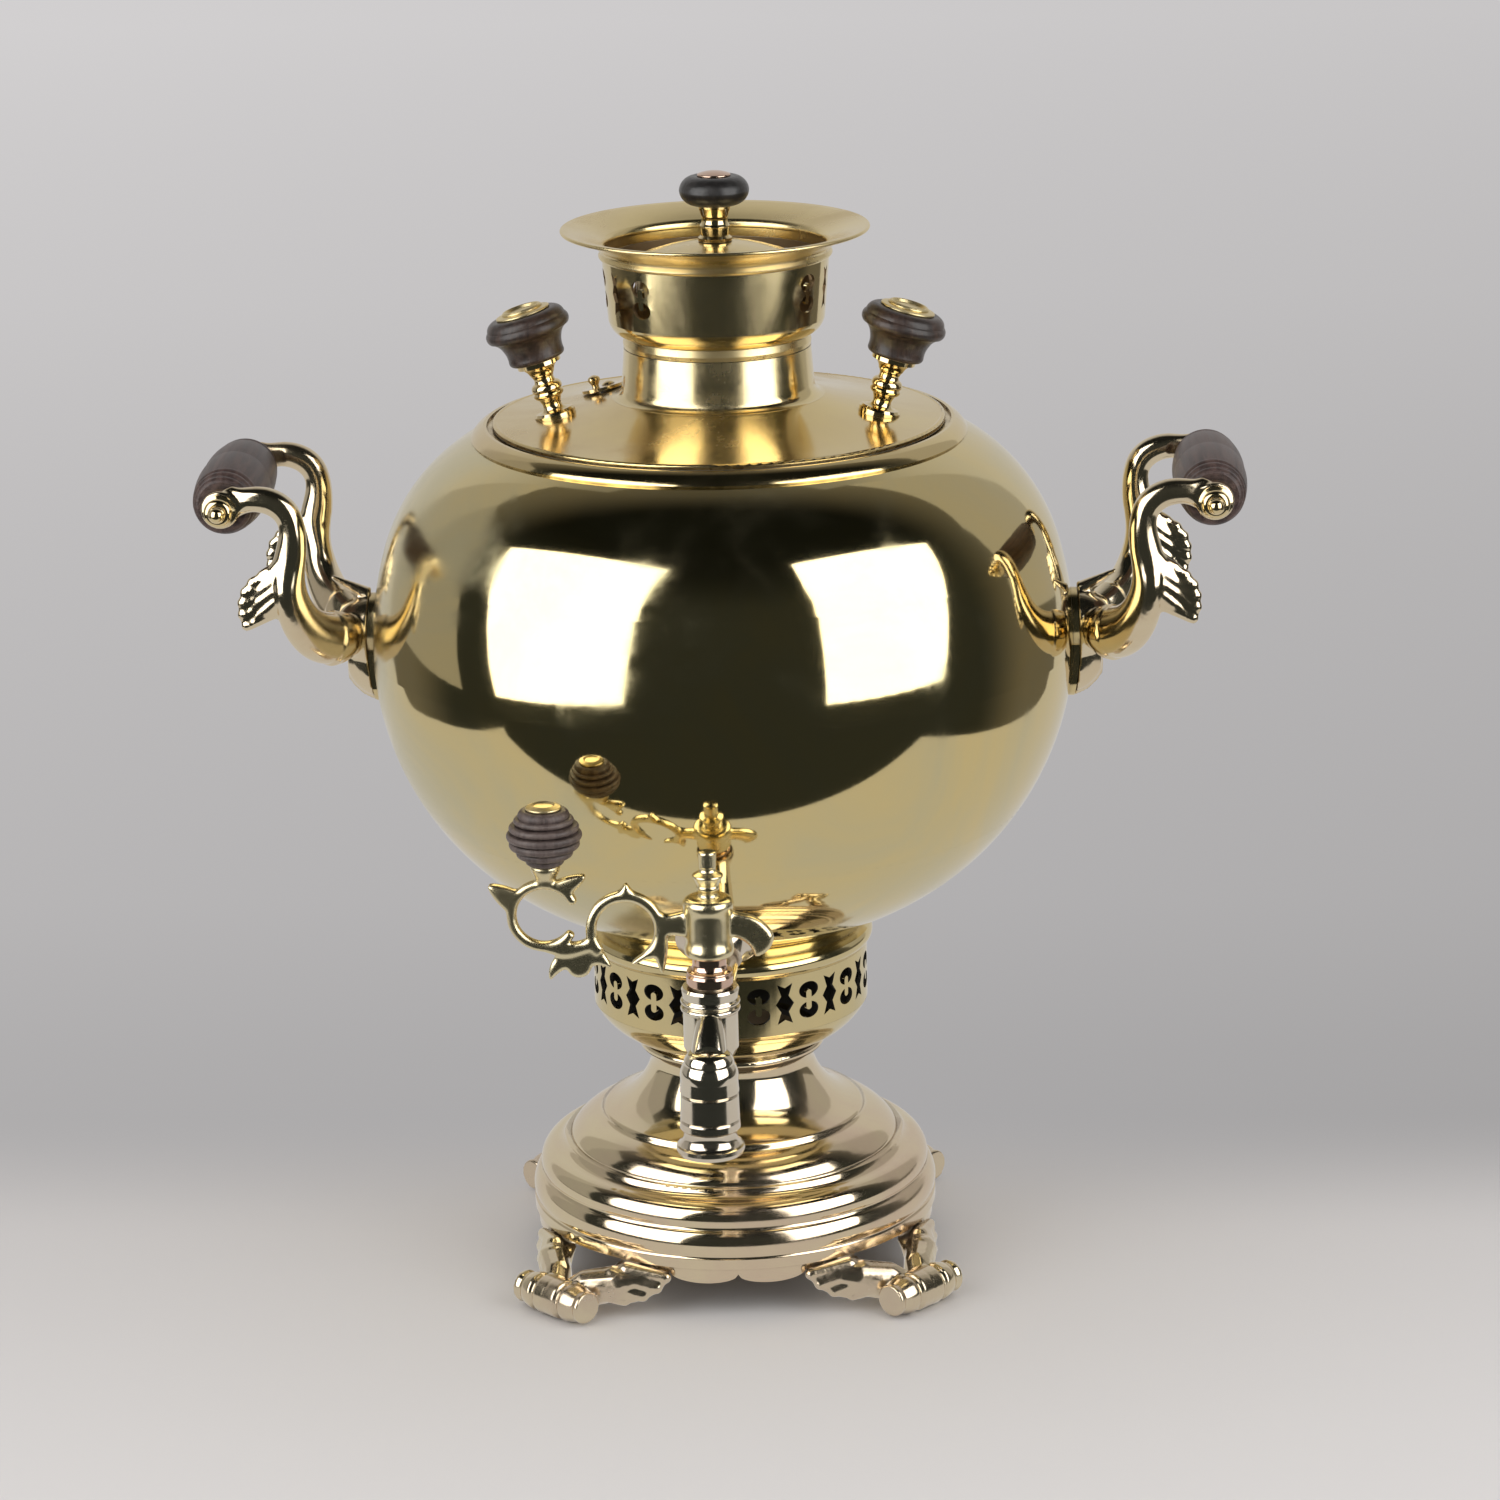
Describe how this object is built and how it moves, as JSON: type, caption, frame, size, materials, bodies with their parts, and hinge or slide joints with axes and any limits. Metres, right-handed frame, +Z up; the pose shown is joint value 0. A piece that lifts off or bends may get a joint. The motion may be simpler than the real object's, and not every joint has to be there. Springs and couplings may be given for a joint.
{
  "type": "samovar",
  "caption": "Ball-shaped brass samovar on roll feet, with flue, pierced gallery, lyre handles, plug tap, lid with steam vent, teapot crown and flue cap.",
  "frame": {"origin": "on the ball's vertical axis, in the plane that the feet stand on", "axes": "+Z up along the axis, -Y towards the tap, the handles on +X and -X"},
  "size_m": [0.3994, 0.3101, 0.4307],
  "materials": {
    "sheet_brass": "highly polished yellow brass sheet with fine wipe marks",
    "cast_brass": "polished cast brass, a little paler than the sheet, dull in the recesses",
    "copper": "polished copper-coloured metal",
    "stained_wood": "turned wood, purple-brown stain worn at the edges",
    "dark_wood": "turned wood, dark brown-black lacquer",
    "black_wood": "turned wood, black lacquer",
    "cast_iron": "rough black cast iron",
    "plain_steel": "plain turned steel"
  },
  "bodies": {
    "vessel": {"ball_belly": "sheet_brass", "ball_bottom": "sheet_brass", "ball_collar": "sheet_brass", "ball_shoulder": "sheet_brass", "ball_side": "sheet_brass", "boiler_floor": "sheet_brass", "fire_grate": "cast_iron", "firebox_cone": "sheet_brass", "flue_tube": "sheet_brass", "foot_back_left": "cast_brass", "foot_back_right": "cast_brass", "foot_front_left": "cast_brass", "foot_front_right": "cast_brass", "gallery_band": "sheet_brass", "gallery_bowl": "sheet_brass", "grip_left": "stained_wood", "grip_nuts_left": "cast_brass", "grip_nuts_right": "cast_brass", "grip_right": "stained_wood", "grip_rod_left": "plain_steel", "grip_rod_right": "plain_steel", "handle_bracket_left": "cast_brass", "handle_bracket_right": "cast_brass", "handle_plate_left": "sheet_brass", "handle_plate_right": "sheet_brass", "pedestal": "sheet_brass", "rim_ring": "sheet_brass", "tap_body": "cast_brass", "tap_escutcheon": "cast_brass"},
    "key": {"tap_plug": "cast_brass", "plug_tail": "plain_steel", "plug_collar": "copper", "key_branch": "cast_brass", "key_finial": "cast_brass", "key_knob": "stained_wood", "key_knob_cap": "cast_brass"},
    "lid": {"lid": "sheet_brass", "lid_neck": "sheet_brass", "lid_knob_stem_right": "cast_brass", "lid_knob_nut_right": "plain_steel", "lid_knob_right": "dark_wood", "lid_knob_cap_right": "cast_brass", "lid_knob_stem_left": "cast_brass", "lid_knob_nut_left": "plain_steel", "lid_knob_left": "dark_wood", "lid_knob_cap_left": "cast_brass", "vent_rivet": "cast_brass"},
    "vent": {"vent_cover": "cast_brass"},
    "crown": {"crown_seat": "sheet_brass", "crown_gallery": "sheet_brass", "crown_flange": "sheet_brass"},
    "cap": {"cap_dome": "sheet_brass", "cap_stem": "cast_brass", "cap_knob": "black_wood", "cap_rivet": "copper"}
  },
  "joints": [
    {"name": "key_turn", "type": "hinge", "parent": "vessel", "child": "key", "pos_m": [0, -0.145, 0.1485], "axis": [0, 0, 1], "range_deg": [-10, 190]},
    {"name": "lid_lift", "type": "slide", "parent": "vessel", "child": "lid", "axis": [0, 0, 1], "range_m": [0, 0.08]},
    {"name": "vent_swing", "type": "hinge", "parent": "lid", "child": "vent", "pos_m": [-0.04301, 0.02098, 0.34351], "axis": [-0.23, 0.1122, 0.9667], "range_deg": [-120, 0]},
    {"name": "crown_lift", "type": "slide", "parent": "lid", "child": "crown", "axis": [0, 0, 1], "range_m": [0, 0.08]},
    {"name": "cap_lift", "type": "slide", "parent": "crown", "child": "cap", "axis": [0, 0, 1], "range_m": [0, 0.08]}
  ]
}
